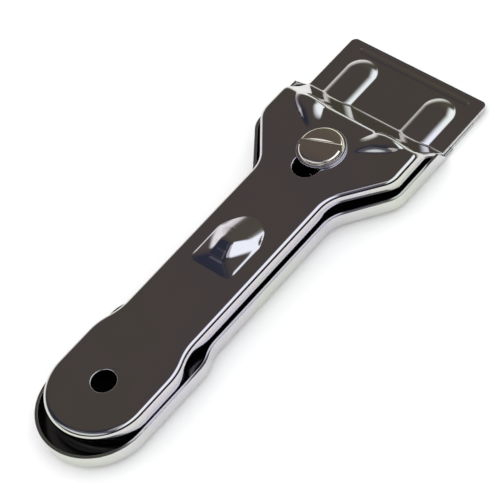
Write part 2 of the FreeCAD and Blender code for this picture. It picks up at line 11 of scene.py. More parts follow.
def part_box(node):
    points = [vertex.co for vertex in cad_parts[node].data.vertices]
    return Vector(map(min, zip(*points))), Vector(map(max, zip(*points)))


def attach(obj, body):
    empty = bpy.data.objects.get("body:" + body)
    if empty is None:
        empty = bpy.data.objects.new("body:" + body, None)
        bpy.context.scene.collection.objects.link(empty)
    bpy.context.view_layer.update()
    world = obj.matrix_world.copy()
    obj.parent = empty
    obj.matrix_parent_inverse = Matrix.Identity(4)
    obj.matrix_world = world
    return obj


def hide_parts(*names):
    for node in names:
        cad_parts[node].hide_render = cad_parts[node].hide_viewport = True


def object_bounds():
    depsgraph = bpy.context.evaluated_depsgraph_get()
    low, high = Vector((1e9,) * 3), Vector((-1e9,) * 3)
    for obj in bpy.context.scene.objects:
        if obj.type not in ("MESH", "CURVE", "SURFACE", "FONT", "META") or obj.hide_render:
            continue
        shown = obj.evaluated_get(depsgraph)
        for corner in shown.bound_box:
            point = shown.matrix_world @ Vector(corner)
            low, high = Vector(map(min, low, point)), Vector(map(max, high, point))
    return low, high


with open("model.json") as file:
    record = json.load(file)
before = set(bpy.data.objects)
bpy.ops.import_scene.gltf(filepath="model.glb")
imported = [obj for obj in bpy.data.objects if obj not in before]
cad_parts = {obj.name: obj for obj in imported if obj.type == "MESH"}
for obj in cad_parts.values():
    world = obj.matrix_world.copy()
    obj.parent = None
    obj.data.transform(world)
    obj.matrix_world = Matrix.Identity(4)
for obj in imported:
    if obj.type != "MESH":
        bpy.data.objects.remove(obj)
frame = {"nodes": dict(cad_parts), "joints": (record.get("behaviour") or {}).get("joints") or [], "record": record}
cad_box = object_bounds()

# A pressed-steel blade scraper in bright plate.  The shaping code works in millimetres, in the
# CAD frame (+X to the blade, +Z up), and meshes are written out in metres.
MM = 0.001


# ---------------------------------------------------------------- sizes taken from the frame

def box_mm(node):
    low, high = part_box(node)
    return np.array(low) / MM, np.array(high) / MM


def mount(name):
    return next(m for m in frame["record"]["mounts"] if m["name"] == name)


def joint(name):
    return next(j for j in frame["joints"] if j["name"] == name)


SHELL_LOW, SHELL_HIGH = box_mm("top_shell")
TRAY_LOW, TRAY_HIGH = box_mm("base_tray")
BLADE_LOW = box_mm("scraper_blade")[0]

GAUGE = BLADE_LOW[2]                                 # the blade lies on the tray's sheet, one gauge up
DECK_TOP = mount("hanging_hole")["dims"]["length_mm"]
HANG_RADIUS = mount("hanging_hole")["dims"]["r_mm"]
PLATE_TOP = SHELL_LOW[2] + GAUGE                     # top of the nose plate
SCREW_X = joint("screw_turn")["pos_m"][0] / MM

# ---------------------------------------------------------------- the shell's own sizes

EDGE_ROUND = 1.5                                     # outer radius of the shell's rolled edge
CUT_ROUND = 0.12                                     # the sheet's cut edges are barely rounded
HOLE_ROUND = 0.35                                    # a punch draws the edge of its hole in a little
NECK_ROUND = 8.0
SHELL_NECK_ROUND = 14.0
SHOULDER_ROUND = 6.5
NOSE_ROUND = 1.5

SHELL_TAIL_HALF = 13.15
SHELL_WAIST_HALF = 10.9
SHELL_SHOULDER_HALF = SHELL_HIGH[1]
SHELL_NOSE_HALF = SHELL_SHOULDER_HALF - 0.1
SHELL_NECK = (11.2, 17.0)                            # where the tail narrows into the handle
SHELL_FLARE = (67.05, 78.95)                         # where the handle widens into the head
FLANGE_FOOT = 2.2
FLANGE_FRONT = 91.1

CREASE_X = 88.1                                      # where the deck bends into the front slope
CREASE_REACH = 0.7
FOOT_REACH = 0.5

RIB_OFFSET = 11.95
RIB_FOOT_HALF = 4.5
RIB_CREST_HALF = 0.7
RIB_RISE = 1.0
RIB_END_X = 104.9

FORM_BLEND = 0.12                                    # how softly a raised form meets the sheet
FLAT_CELL, PAD_CELL, HEAD_CELL = 2.0, 0.25, 0.3      # spacing of the mesh over each area

GUSSET_RISE = 1.25
GUSSET_START = 7.2                                   # distance from the screw where a gusset begins
GUSSET_CLIMB = 6.0                                   # and how far it climbs from there
GUSSET_X = 80.0                                      # its two edges are lines, given here by their
GUSSET_INNER = (2.7, 0.66)                           # distance from the middle at this X, and by
GUSSET_OUTER = (6.3, 1.66)                           # how much that grows with each mm of X
GUSSET_FALL = (CREASE_X - 0.6, CREASE_X + 3.0)       # it drops over the crease between these

PAD_REAR, PAD_FRONT = 36.4, 53.4
PAD_HALF = 6.2
PAD_CREST_X = 43.6
PAD_CREST_HALF = 2.0
PAD_RISE = SHELL_HIGH[2] - DECK_TOP
PAD_STEP = 0.15                                      # the sides stand on a small step
PAD_CROWN = 0.10                                     # how fast the front edge falls back off the middle
PAD_TURN_X = 47.3                                    # the sides turn in ahead of this
PAD_TURN = 0.45
SERRATION_START = 0.3                                # first ridge, ahead of the pad's rear
SERRATION_PITCH = 2.35
SERRATION_RISE = 0.12
SERRATIONS = ((0.6, 0.3), (1.0, 0.4), (0.4, 0.35))   # strength and half width, from the rear
WITNESS_RISE = 0.02
WITNESS_LINES = ((4.0, 1.0), (2.6, 0.5))             # distance ahead of the crest, and strength

BEAD_X = 110.9
BEAD_HALF_WIDTH = 1.0
BEAD_HALF_LENGTH = 17.2
BEAD_RISE = 0.2

SLOT_HALF = 3.5
SLOT_ENDS = (71.9, 79.3)

# ---------------------------------------------------------------- the tray's own sizes

TRAY_ROUND = 2.5                                     # outer radius of the tray's bottom edge
TRAY_INNER_ROUND = 1.4
TRAY_TAIL_HALF = 14.15
TRAY_WAIST_HALF = 12.25
TRAY_NECK = (18.0, 22.0)
TRAY_FLARE = (65.05, 77.65)
WALL_TOP = TRAY_HIGH[2]
WALL_END = (93.0, 96.1)                              # the wall slants down between these
LIP_FRONT = 98.7
TONGUE_HALF = 20.8
NUT_SPIGOT = 3.9
STUD_X = 101.0
STUD_SPIGOT = 1.0

# ---------------------------------------------------------------- screw and washer

SCREW_LOW, SCREW_HIGH = box_mm("clamp_screw")
WASHER_LOW, WASHER_HIGH = box_mm("screw_washer")
HEAD_RADIUS = SCREW_HIGH[0] - SCREW_X
HEAD_FOOT = WASHER_HIGH[2] + 0.05
WASHER_RADIUS = WASHER_HIGH[0] - SCREW_X
SHANK_RADIUS = 3.0
HEAD_RIM = 1.0                                       # radius of the head's rolled rim
HEAD_TILT = 12                                       # degrees; the crown's slope where the rim begins
HEAD_SHAVE = 0.12                                    # rounding of the head's lower edge
THREAD_PITCH = 1.0
THREAD_DEPTH = 0.28
THREAD_RADIUS = SHANK_RADIUS - 0.02
SHANK_CHAMFER = 0.6
DRIVER_WIDTH = 1.8
DRIVER_DEPTH = 0.75
DRIVER_YAW = 110.0
DRIVER_MOUTH = ((0, -0.42), (0.1, -0.25), (0.5, 0.3))    # how the slot widens towards its mouth
WORN_EDGE = 0.05


# ---------------------------------------------------------------- small formulas

QUARTER = math.pi / 2


def smooth_min(a, b, reach):
    """The smaller of two heights, blended where they differ by less than reach."""
    blend = np.maximum(reach - np.abs(a - b), 0) / reach
    return np.minimum(a, b) - blend * blend * reach / 4


def smooth_max(a, b, reach):
    return -smooth_min(-a, -b, reach)


def smooth_step(low, high, value):
    share = np.clip((value - low) / (high - low), 0, 1)
    return share * share * (3 - 2 * share)


# ---------------------------------------------------------------- rounded outlines

def rounded_outline(corners, step=1.0, turn=math.radians(4)):
    """Points along a closed polygon of corners (x, y, radius), and their outward normals."""
    corners = [np.array(corner, float) for corner in corners]
    points = []
    normals = []
    for index, corner in enumerate(corners):
        before = corners[index - 1][:2]
        after = corners[(index + 1) % len(corners)][:2]
        here, radius = corner[:2], corner[2]
        arrive = (here - before) / np.linalg.norm(here - before)
        leave = (after - here) / np.linalg.norm(after - here)
        bend = math.atan2(arrive[0] * leave[1] - arrive[1] * leave[0], float(arrive @ leave))
        reach = radius * math.tan(abs(bend) / 2)
        normal = np.array([arrive[1], -arrive[0]])
        side = 1.0 if bend > 0 else -1.0
        centre = here - arrive * reach - normal * radius * side
        for share in np.linspace(0, 1, max(2, math.ceil(abs(bend) / turn)) + 1):
            angle = bend * share
            spun = np.array([normal[0] * math.cos(angle) - normal[1] * math.sin(angle),
                             normal[0] * math.sin(angle) + normal[1] * math.cos(angle)])
            points.append(centre + spun * radius * side)
            normals.append(spun)
        following = corners[(index + 1) % len(corners)]
        onward = np.array(corners[(index + 2) % len(corners)][:2]) - following[:2]
        onward = onward / np.linalg.norm(onward)
        next_bend = math.atan2(leave[0] * onward[1] - leave[1] * onward[0], float(leave @ onward))
        finish = following[:2] - leave * following[2] * math.tan(abs(next_bend) / 2)
        start = points[-1]
        pieces = math.ceil(np.linalg.norm(finish - start) / step)
        for number in range(1, pieces):
            points.append(start + (finish - start) * number / pieces)
            normals.append(np.array([leave[1], -leave[0]]))
    return np.array(points), np.array(normals)


def both_sides(corners):
    """Corners of the left side, from tail to front, made into a whole counter-clockwise outline."""
    right = [(x, -y, radius) for x, y, radius in corners]
    return right + corners[::-1]


def circle(x, y, radius, count=72):
    angle = np.linspace(0, 2 * math.pi, count, endpoint=False)
    return np.stack([x + radius * np.cos(angle), y + radius * np.sin(angle)], 1)


def inside(points, loop):
    """Which points lie inside a closed loop, by counting crossings."""
    result = np.zeros(len(points), bool)
    x, y = points[:, 0], points[:, 1]
    for (x0, y0), (x1, y1) in zip(loop, np.roll(loop, -1, axis=0)):
        if y0 == y1:
            continue
        crosses = ((y0 > y) != (y1 > y)) & (x < (x1 - x0) * (y - y0) / (y1 - y0) + x0)
        result ^= crosses
    return result


def clear_of(points, loop, distance):
    """Which points keep a distance from every vertex of a loop."""
    result = np.ones(len(points), bool)
    for vertex in loop:
        result &= np.hypot(points[:, 0] - vertex[0], points[:, 1] - vertex[1]) > distance
    return result


def grid(x_range, y_range, step):
    xs = np.arange(x_range[0], x_range[1] + step / 2, step)
    ys = np.arange(y_range[0], y_range[1] + step / 2, step)
    return np.stack(np.meshgrid(xs, ys), -1).reshape(-1, 2)


def kept_clear(fill, border, holes, distance):
    """The points that lie inside the border and outside the holes, and clear of both."""
    fill = fill[inside(fill, border)]
    fill = fill[clear_of(fill, border, distance)]
    for hole in holes:
        fill = fill[~inside(fill, hole)]
        fill = fill[clear_of(fill, hole, distance)]
    return fill


def triangulate(border, holes, fill):
    """Triangles over a region: its points are the border's, then the holes', then the fill's."""
    loops = [border] + holes
    points = np.concatenate(loops + [fill])
    edges = []
    start = 0
    for loop in loops:
        count = len(loop)
        edges += [(start + k, start + (k + 1) % count) for k in range(count)]
        start += count
    found = delaunay_2d_cdt([Vector(p) for p in points], edges, [], 0, 1e-7, True)
    vertices, faces, origins = found[0], found[2], found[3]
    source = [own[0] for own in origins]
    middles = np.array([[sum(vertices[v].x for v in f) / 3, sum(vertices[v].y for v in f) / 3]
                        for f in faces])
    keep = inside(middles, border)
    for hole in holes:
        keep &= ~inside(middles, hole)
    return points, [[source[v] for v in f] for f, kept in zip(faces, keep) if kept]


# ---------------------------------------------------------------- meshes from rings

class Builder:
    """Collects vertices and faces in millimetres, then makes one mesh object."""

    def __init__(self):
        self.vertices = []
        self.inner = []
        self.faces = []

    def add(self, points, inner=0.0):
        """Add points; those on a pressing's inner face are marked, because it is left dull and its colour is
        darkened as painted shade.
        """
        start = len(self.vertices)
        self.vertices += [tuple(p) for p in points]
        self.inner += [inner] * len(points)
        return np.arange(start, start + len(points))

    def ring_maker(self, plan, normal):
        """A function that adds a ring at a depth inside an outline, at a height."""
        def ring(depth, height, inner=0.0):
            points = plan - normal * np.broadcast_to(depth, len(plan))[:, None]
            return self.add(with_height(points, height), inner)
        return ring

    def strips(self, rings):
        """Quads between each closed ring and the next; all have the same number of points."""
        for first, second in zip(rings, rings[1:]):
            following = zip(np.roll(first, -1), np.roll(second, -1))
            for low, high, (next_low, next_high) in zip(first, second, following):
                self.faces.append((low, next_low, next_high, high))

    def triangles(self, faces, index, flip=False):
        for face in faces:
            corner = [index[v] for v in face]
            self.faces.append(tuple(corner[::-1] if flip else corner))

    def mesh(self, name, sharp):
        mesh = bpy.data.meshes.new(name)
        data = bmesh.new()
        # marks inner faces: they are made rougher, and their colour is darkened as painted shade
        dull_and_shaded = data.verts.layers.float.new("dull_and_shaded")
        made = [data.verts.new(Vector(v) * MM) for v in self.vertices]
        for vertex, inner in zip(made, self.inner):
            vertex[dull_and_shaded] = inner
        for face in self.faces:
            data.faces.new([made[v] for v in face])
        bmesh.ops.remove_doubles(data, verts=data.verts, dist=2e-6)
        bmesh.ops.dissolve_degenerate(data, edges=data.edges, dist=1e-7)
        loose = [v for v in data.verts if not v.link_faces]
        bmesh.ops.delete(data, geom=loose, context="VERTS")
        bmesh.ops.recalc_face_normals(data, faces=data.faces)
        for face in data.faces:
            face.smooth = True
        data.to_mesh(mesh)
        data.free()
        mesh.set_sharp_from_angle(angle=math.radians(sharp))
        return mesh

    def build(self, name, body, material, sharp=35):
        piece = bpy.data.objects.new(name, self.mesh(name, sharp))
        bpy.context.scene.collection.objects.link(piece)
        piece.data.materials.append(material)
        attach(piece, body)
        return piece


def with_height(points, heights):
    return np.column_stack([points, np.broadcast_to(heights, len(points))])


# ---------------------------------------------------------------- top shell

def deck_level(x):
    """Side view of the shell: deck, crease, front slope, nose plate."""
    slope = DECK_TOP - (x - CREASE_X)
    return smooth_max(smooth_min(DECK_TOP, slope, CREASE_REACH), PLATE_TOP, FOOT_REACH)


def rib_rise(x, y):
    """Ribs on the nose plate: arched across, steepest at the foot, with a round front end."""
    across = np.abs(np.abs(y) - RIB_OFFSET)
    away = np.hypot(np.maximum(x - RIB_END_X, 0), across)
    share = np.maximum(away - RIB_CREST_HALF, 0) / (RIB_FOOT_HALF - RIB_CREST_HALF)
    return smooth_max(RIB_RISE * (1 - share ** 2), 0, FORM_BLEND)


def gusset_rise(x, y):
    """Arched gussets: each starts beside the screw, fans out forward and drops over the crease."""
    across = np.abs(y)
    ahead = x - GUSSET_X
    inner = np.minimum(GUSSET_INNER[0] + GUSSET_INNER[1] * ahead, RIB_OFFSET - RIB_FOOT_HALF)
    outer = smooth_min(GUSSET_OUTER[0] + GUSSET_OUTER[1] * ahead, RIB_OFFSET + RIB_FOOT_HALF, 3.0)
    middle = (inner + outer) / 2
    half = np.maximum((outer - inner) / 2, 0.05)
    arch = 1 - ((across - middle) / half) ** 2
    reach = np.clip((np.hypot(x - SCREW_X, across) - GUSSET_START) / GUSSET_CLIMB, 0, 1)
    climb = (reach + np.sin(reach * QUARTER)) / 2
    fall = 1 - smooth_step(*GUSSET_FALL, x)
    return GUSSET_RISE * climb * fall * smooth_max(arch, 0, FORM_BLEND) * (x > SCREW_X)


def ridge(x, middle, half_width):
    """A low rounded ridge across the tool, one unit high."""
    return 1 - smooth_step(0, half_width, np.abs(x - middle))


def pad_sides(x, y):
    """The pad's sides alone: steepest at the top, turned in at the front, and on a small step."""
    turned_in = PAD_TURN * smooth_max(x - PAD_TURN_X, 0, 0.6)
    width = PAD_HALF - turned_in - np.abs(y)
    steepness = PAD_RISE / (PAD_HALF - PAD_CREST_HALF)
    lean = 0.42 + 0.43 * smooth_step(44, 50, x + 1.3 * width)
    step = PAD_STEP * smooth_step(0, 0.4, width)
    return np.minimum(width, 0) + np.maximum(width, 0) * steepness * lean + step


def pad_lines(x, over_rear, over_front):
    """Cross ridges where the sides are above the rear face, witness lines where above the ramp."""
    first = PAD_REAR + SERRATION_START
    grip = sum(strength * ridge(x, first + number * SERRATION_PITCH, half_width)
               for number, (strength, half_width) in enumerate(SERRATIONS))
    witness = sum(strength * ridge(x, PAD_CREST_X + ahead, 0.25) for ahead, strength in WITNESS_LINES)
    on_rear = smooth_step(0.2, 0.7, over_rear) * (x < PAD_CREST_X)
    on_front = smooth_step(0.1, 0.6, over_front) * (x > PAD_CREST_X)
    return SERRATION_RISE * grip * on_rear + WITNESS_RISE * witness * on_front


def pad_rise(x, y):
    """Thumb pad: steep rear face, long crowned front ramp, and sides that blend in softly at the
    left hip and more tightly at the right."""
    rear = (x - PAD_REAR) * PAD_RISE / (PAD_CREST_X - PAD_REAR)
    front = (PAD_FRONT - x - PAD_CROWN * y ** 2) * PAD_RISE / (PAD_FRONT - PAD_CREST_X)
    side = pad_sides(x, y)
    body = smooth_min(rear, side, 0.6)
    hip = 0.3 + 0.9 * smooth_step(0, 3, y)
    form = smooth_max(smooth_min(body, front, hip), 0, FORM_BLEND)
    return form + pad_lines(x, side - rear, side - front)


def bead_rise(x, y):
    away = np.hypot(x - BEAD_X, np.maximum(np.abs(y) - BEAD_HALF_LENGTH + BEAD_HALF_WIDTH, 0))
    return BEAD_RISE * (1 - smooth_step(0.2, BEAD_HALF_WIDTH, away))


def shell_level(points):
    """Height of the shell's outer face over the plan."""
    x, y = points[:, 0], points[:, 1]
    base = DECK_TOP - (x - CREASE_X)
    upper = smooth_min(DECK_TOP, base, CREASE_REACH) + gusset_rise(x, y)
    lower = PLATE_TOP + rib_rise(x, y) + bead_rise(x, y)
    level = smooth_max(upper, lower, FOOT_REACH * np.where(x > CREASE_X, 1, 0.01))
    return level + pad_rise(x, y)


def sheet_drop(points):
    """Vertical thickness of the sheet, so that it is one gauge thick across any slope."""
    step = 0.05
    along = shell_level(points + [step, 0]) - shell_level(points - [step, 0])
    across = shell_level(points + [0, step]) - shell_level(points - [0, step])
    steepness = (along ** 2 + across ** 2) / (2 * step) ** 2
    return GAUGE * np.sqrt(1 + np.minimum(steepness, 1.5))


def shell_outline():
    tail = SHELL_LOW[0]
    left = [
        (tail, SHELL_TAIL_HALF, SHELL_TAIL_HALF - 0.001),
        (SHELL_NECK[0], SHELL_TAIL_HALF, SHELL_NECK_ROUND),
        (SHELL_NECK[1], SHELL_WAIST_HALF, SHELL_NECK_ROUND),
        (SHELL_FLARE[0], SHELL_WAIST_HALF, NECK_ROUND),
        (SHELL_FLARE[1], SHELL_SHOULDER_HALF, SHOULDER_ROUND),
        (SHELL_HIGH[0], SHELL_NOSE_HALF, NOSE_ROUND),
    ]
    return rounded_outline(both_sides(left))


def slot_loop(grow):
    radius = SLOT_HALF + grow
    rear, front = SLOT_ENDS
    corners = [(rear - radius, -radius, radius - 0.001), (front + radius, -radius, radius - 0.001),
               (front + radius, radius, radius - 0.001), (rear - radius, radius, radius - 0.001)]
    return rounded_outline(corners, step=1.0, turn=math.radians(6))[0]


def punched_edge(shell, rim_loop, hole_loop, top_rim, under_rim):
    """Rolled-over upper edge, wall and lower edge of a hole punched through the deck."""
    rings = [top_rim]
    for share in (0.25, 0.5, 0.75, 1.0):
        angle = share * QUARTER
        plan = rim_loop + (hole_loop - rim_loop) * math.sin(angle)
        rings.append(shell.add(with_height(plan, DECK_TOP - HOLE_ROUND * (1 - math.cos(angle)))))
    rings.append(shell.add(with_height(hole_loop, DECK_TOP - GAUGE)))
    rings.append(under_rim)
    shell.strips(rings)


def deck_fill(border, holes):
    """Points inside the shell's border: sparse on the flat, dense where the sheet is formed."""
    margin = 2.0
    flat = grid((SHELL_LOW[0], CREASE_X - 9), (-20, 20), FLAT_CELL)
    off_middle = np.abs(flat[:, 0] - (PAD_REAR + PAD_FRONT) / 2)
    along_pad = off_middle < (PAD_FRONT - PAD_REAR) / 2 + margin
    in_pad = along_pad & (np.abs(flat[:, 1]) < PAD_HALF + margin)
    pad = grid((PAD_REAR - 1, PAD_FRONT + 1), (-PAD_HALF - 1, PAD_HALF + 1), PAD_CELL)
    head = grid((CREASE_X - 10, SHELL_HIGH[0]), (-SHELL_HIGH[1], SHELL_HIGH[1]), HEAD_CELL)
    return kept_clear(np.concatenate([flat[~in_pad], pad, head]), border, holes, 0.25)


def outer_flange(ring, edge_level, roll, skin, foot):
    """The flange's outer face, from the inside of its cut edge up to the deck."""
    cut = CUT_ROUND * skin / GAUGE
    low = foot + CUT_ROUND
    side_top = np.maximum(edge_level - roll, low)
    rings = [ring(skin, foot), ring(cut, foot), ring(0, foot + cut)]
    rings += [ring(0, low + (side_top - low) * share) for share in (0.35, 0.7)]
    for share in np.linspace(0, 1, 11)[:-1]:
        angle = share * QUARTER
        height = edge_level - roll * (1 - math.sin(angle))
        rings.append(ring(roll * (1 - math.cos(angle)), np.maximum(height, low)))
    return rings


def inner_flange(ring, under_level, roll, skin, foot):
    """The flange's inner face, from just above its cut edge up to the deck's underside."""
    inner_roll = roll - skin
    rings = [ring(skin + 0.02, foot + CUT_ROUND, 1.0)]
    for share in np.linspace(0, 1, 7)[:-1]:
        angle = share * QUARTER
        height = np.maximum(under_level - inner_roll * (1 - math.sin(angle)), foot)
        rings.append(ring(skin + inner_roll * (1 - math.cos(angle)), height, 1.0))
    return rings


def top_shell(material):
    """One pressed sheet: deck, rolled flange, front slope and nose plate, open underneath."""
    plan, normal = shell_outline()
    plate_foot = PLATE_TOP - GAUGE
    roll = np.clip((deck_level(plan[:, 0]) - PLATE_TOP) * 0.4, CUT_ROUND, EDGE_ROUND)
    skin = np.minimum(GAUGE, roll * GAUGE / EDGE_ROUND)
    flanged = 1 - smooth_step(FLANGE_FRONT - 0.8, FLANGE_FRONT + 0.8, plan[:, 0])
    foot = plate_foot + (FLANGE_FOOT - plate_foot) * flanged
    shell = Builder()
    ring = shell.ring_maker(plan, normal)
    border = plan - normal * roll[:, None]
    outer = outer_flange(ring, shell_level(border), roll, skin, foot)

    rims = [slot_loop(HOLE_ROUND), circle(0, 0, HANG_RADIUS + HOLE_ROUND)]
    holes = [slot_loop(0), circle(0, 0, HANG_RADIUS)]
    points, faces = triangulate(border, rims, deck_fill(border, rims))
    top_level = shell_level(points)
    under_level = np.maximum(top_level - sheet_drop(points), plate_foot)
    top = shell.add(with_height(points, top_level))
    under = shell.add(with_height(points, under_level), 1.0)
    shell.triangles(faces, top)
    shell.triangles(faces, under, flip=True)

    start = len(border)
    shell.strips(outer + [top[:start]])
    inner = inner_flange(ring, under_level[:start], roll, skin, foot)
    shell.strips(outer[:1] + inner + [under[:start]])
    for rim, hole in zip(rims, holes):
        here = slice(start, start + len(rim))
        start += len(rim)
        punched_edge(shell, rim, hole, top[here], under[here])
    piece = shell.build("shell_pressing", "shell", material)
    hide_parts("top_shell")


# ---------------------------------------------------------------- base tray

def tray_outline():
    """Plan of the tray from the left lip's front, round the tail, to the right lip's front."""
    left = [
        (TRAY_LOW[0], TRAY_TAIL_HALF, TRAY_TAIL_HALF - 0.001),
        (TRAY_NECK[0], TRAY_TAIL_HALF, NECK_ROUND),
        (TRAY_NECK[1], TRAY_WAIST_HALF, NECK_ROUND),
        (TRAY_FLARE[0], TRAY_WAIST_HALF, NECK_ROUND),
        (TRAY_FLARE[1], TRAY_HIGH[1], SHOULDER_ROUND),
        (TRAY_HIGH[0] + 5, TRAY_HIGH[1], 0.0),
    ]
    points, normals = rounded_outline(both_sides(left), step=0.25)
    behind = points[:, 0] < LIP_FRONT
    start = np.argmax(behind & ~np.roll(behind, 1))
    order = np.roll(np.arange(len(points)), -start)[:behind.sum()]
    points, normals = points[order], normals[order]
    points[[0, -1], 0] = LIP_FRONT
    return points, normals


def tongue_outline():
    """The tongue's edge, from its right side round the front to its left side."""
    rear = LIP_FRONT + 0.3
    front = TRAY_HIGH[0]
    corners = [(rear - 9, -TONGUE_HALF, 0.0), (front, -TONGUE_HALF, NOSE_ROUND),
               (front, TONGUE_HALF, NOSE_ROUND), (rear - 9, TONGUE_HALF, 0.0)]
    points, normals = rounded_outline(corners)
    ahead = points[:, 0] > rear
    points, normals = points[ahead], normals[ahead]
    points[[0, -1], 0] = rear
    return points, normals


def wall_top(plan):
    """Height of the tray's wall: level, then slanting down to the lip; sheared a little unevenly."""
    along = np.concatenate([[0], np.cumsum(np.hypot(*np.diff(plan, axis=0).T))])
    uneven = np.sin(2.1 * along) + np.sin(3.7 * along + 1)
    tail = 1 - smooth_step(-8, 6, plan[:, 0])
    share = np.clip((plan[:, 0] - WALL_END[0]) / (WALL_END[1] - WALL_END[0]), 0, 1)
    level = WALL_TOP - 0.03 + 0.015 * uneven * tail
    return level + (GAUGE - level) * share


def outer_inset(level, on_tray):
    """How far inside its outline the tray's outer face lies at a height; the tongue has no wall."""
    short = np.maximum(TRAY_ROUND - level, 0)
    return np.where(on_tray, TRAY_ROUND - np.sqrt(TRAY_ROUND ** 2 - short ** 2), 0)


def inner_inset(level, on_tray):
    """The same for the tray's inner face, and for the rounded edge of the tongue."""
    short = np.clip(TRAY_INNER_ROUND + GAUGE - level, 0, TRAY_INNER_ROUND)
    inset = GAUGE + TRAY_INNER_ROUND - np.sqrt(TRAY_INNER_ROUND ** 2 - short ** 2)
    return np.where(on_tray, inset, CUT_ROUND)


def tray_wall(ring, top, on_tray):
    """Rings up the wall's outer face, over its cut rim and down its inner face."""
    shoulder = top - CUT_ROUND
    inner_shoulder = np.maximum(shoulder, GAUGE)
    rings = []
    for angle in np.linspace(0, QUARTER, 10):
        level = np.minimum(TRAY_ROUND * (1 - math.cos(angle)), shoulder)
        rings.append(ring(outer_inset(level, on_tray), level))
    for angle in np.linspace(0, QUARTER, 5):
        inset = outer_inset(shoulder, on_tray) + CUT_ROUND * (1 - math.cos(angle))
        rings.append(ring(inset, shoulder + CUT_ROUND * math.sin(angle)))
    for angle in np.linspace(QUARTER, 0, 5):
        inset = inner_inset(inner_shoulder, on_tray) - CUT_ROUND * (1 - math.cos(angle)) * on_tray
        rings.append(ring(inset, np.maximum(shoulder + CUT_ROUND * math.sin(angle), GAUGE)))
    for angle in np.linspace(QUARTER, 0, 8):
        level = np.minimum(GAUGE + TRAY_INNER_ROUND * (1 - math.cos(angle)), inner_shoulder)
        rings.append(ring(inner_inset(level, on_tray), level, 1.0))
    return rings


def tray_floor(tray, plan, normal, on_tray):
    """The floor's two faces, and the walls of the holes punched through it."""
    punches = [(SCREW_X, 0, NUT_SPIGOT), (0, 0, HANG_RADIUS)]
    punches += [(STUD_X, side * RIB_OFFSET, STUD_SPIGOT) for side in (-1, 1)]
    loops = [circle(x, y, radius + CUT_ROUND) for x, y, radius in punches]
    under_inset = outer_inset(np.zeros(len(plan)), on_tray)
    upper_inset = inner_inset(np.full(len(plan), GAUGE), on_tray)
    caps = []
    for inset, level, inner in ((under_inset, 0, 0.0), (upper_inset, GAUGE, 1.0)):
        border = plan - normal * inset[:, None]
        fill = grid((TRAY_LOW[0], TRAY_HIGH[0]), (-TRAY_HIGH[1], TRAY_HIGH[1]), 2.5)
        points, faces = triangulate(border, loops, kept_clear(fill, border, loops, 0.4))
        cap = tray.add(with_height(points, level), inner)
        tray.triangles(faces, cap, flip=level == 0)
        caps.append(cap)
    start = len(plan)
    for (x, y, radius), loop in zip(punches, loops):
        here = slice(start, start + len(loop))
        start += len(loop)
        low = tray.add(with_height(circle(x, y, radius), CUT_ROUND))
        high = tray.add(with_height(circle(x, y, radius), GAUGE - CUT_ROUND))
        tray.strips([caps[0][here], low, high, caps[1][here]])


def base_tray(material):
    """One pressed sheet: floor, wall, and the flat tongue that the blade lies on."""
    plan, normal = tray_outline()
    tongue, tongue_normal = tongue_outline()
    top = np.concatenate([wall_top(plan), np.full(len(tongue), GAUGE)])
    on_tray = np.arange(len(top)) < len(plan)
    plan = np.concatenate([plan, tongue])
    normal = np.concatenate([normal, tongue_normal])
    tray = Builder()
    tray.strips(tray_wall(tray.ring_maker(plan, normal), top, on_tray))
    tray_floor(tray, plan, normal, on_tray)
    piece = tray.build("tray_pressing", "tray", material)
    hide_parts("base_tray")


# ---------------------------------------------------------------- screw and washer

def turned(builder, profile, count=96):
    """Rings round the screw's axis for a profile of (radius, height) points."""
    rings = [builder.add(with_height(circle(SCREW_X, 0, radius, count), level))
             for radius, level in profile]
    builder.strips(rings)
    return rings


def arc_profile(radius, level, round_radius, start, finish, steps):
    """Profile points round an edge; the angles are tilts away from straight up, in degrees."""
    tilts = np.radians(np.linspace(start, finish, steps))
    return [(radius + round_radius * math.sin(tilt), level + round_radius * math.cos(tilt))
            for tilt in tilts]


def screw_thread(screw):
    """Rings of the threaded shank; their radius follows a helix."""
    angle = np.linspace(0, 2 * math.pi, 96, endpoint=False)
    rings = []
    for level in np.arange(SCREW_LOW[2] + 0.3, HEAD_FOOT - 0.9, THREAD_PITCH / 8):
        turns = level / THREAD_PITCH - angle / (2 * math.pi)
        groove = np.abs((turns % 1) * 2 - 1)
        radius = THREAD_RADIUS - THREAD_DEPTH * groove
        ring = np.stack([SCREW_X + radius * np.cos(angle), radius * np.sin(angle)], 1)
        rings.append(screw.add(with_height(ring, level)))
    screw.strips(rings)
    return rings


def slot_cutter():
    """A bar with the driver slot's section: straight sides and slightly worn, flared edges."""
    wide = DRIVER_WIDTH / 2
    right = [(wide, -DRIVER_DEPTH)] + [(wide + flare, level) for flare, level in DRIVER_MOUTH]
    left = [(-across, level) for across, level in reversed(right)]
    section = left[-1:] + right + left[:-1]
    length = HEAD_RADIUS * 1.5
    cutter = Builder()
    ends = [cutter.add([(SCREW_X + across, along, SCREW_HIGH[2] + level) for across, level in section])
            for along in (-length, length)]
    cutter.strips(ends)
    cutter.faces += [tuple(ends[0]), tuple(ends[1][::-1])]
    mesh = cutter.mesh("slot_cutter", 20)
    spin = Matrix.Rotation(math.radians(DRIVER_YAW - 90), 4, "Z")
    axis = Matrix.Translation((SCREW_X * MM, 0, 0))
    mesh.transform(axis @ spin @ axis.inverted())
    tool = bpy.data.objects.new("slot_cutter", mesh)
    bpy.context.scene.collection.objects.link(tool)
    return tool


